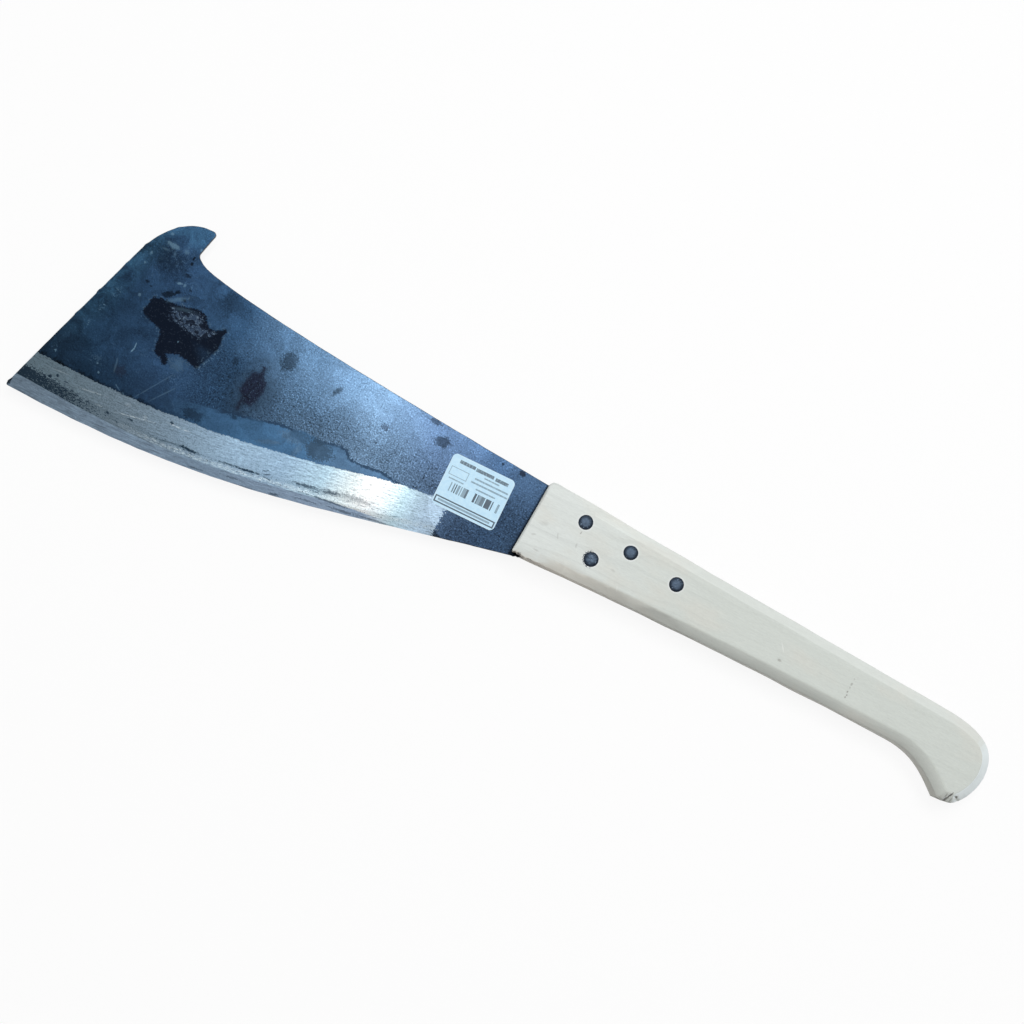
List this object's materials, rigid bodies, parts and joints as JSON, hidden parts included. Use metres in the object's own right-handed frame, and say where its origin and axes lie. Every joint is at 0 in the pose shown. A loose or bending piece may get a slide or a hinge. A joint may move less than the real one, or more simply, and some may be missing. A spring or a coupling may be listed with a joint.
{
  "type": "cane machete",
  "caption": "Hand tool for cutting cane: a broad steel blade with a hooked back and a ground edge, riveted into a straight wooden handle with a knobbed end.",
  "frame": {"origin": "on the handle's flat underside, half way along the handle, on its axis", "axes": "+X from the blade towards the butt, +Y towards the spine and the hook, +Z out of the face that carries the label"},
  "size_m": [0.601, 0.1347, 0.0263],
  "materials": {
    "blade_steel": "blue-black forge scale, bright ground band along the edge",
    "handle_wood": "pale hardwood, planed and lightly sanded, no varnish",
    "rivet_steel": "dark grey, dull",
    "label_paper": "white label film with plain grey and black bars"
  },
  "bodies": {
    "root": {"blade": "blade_steel", "handle": "handle_wood", "rivet_front_upper": "rivet_steel", "rivet_front_lower": "rivet_steel", "rivet_middle": "rivet_steel", "rivet_rear": "rivet_steel", "label": "label_paper"}
  },
  "joints": []
}
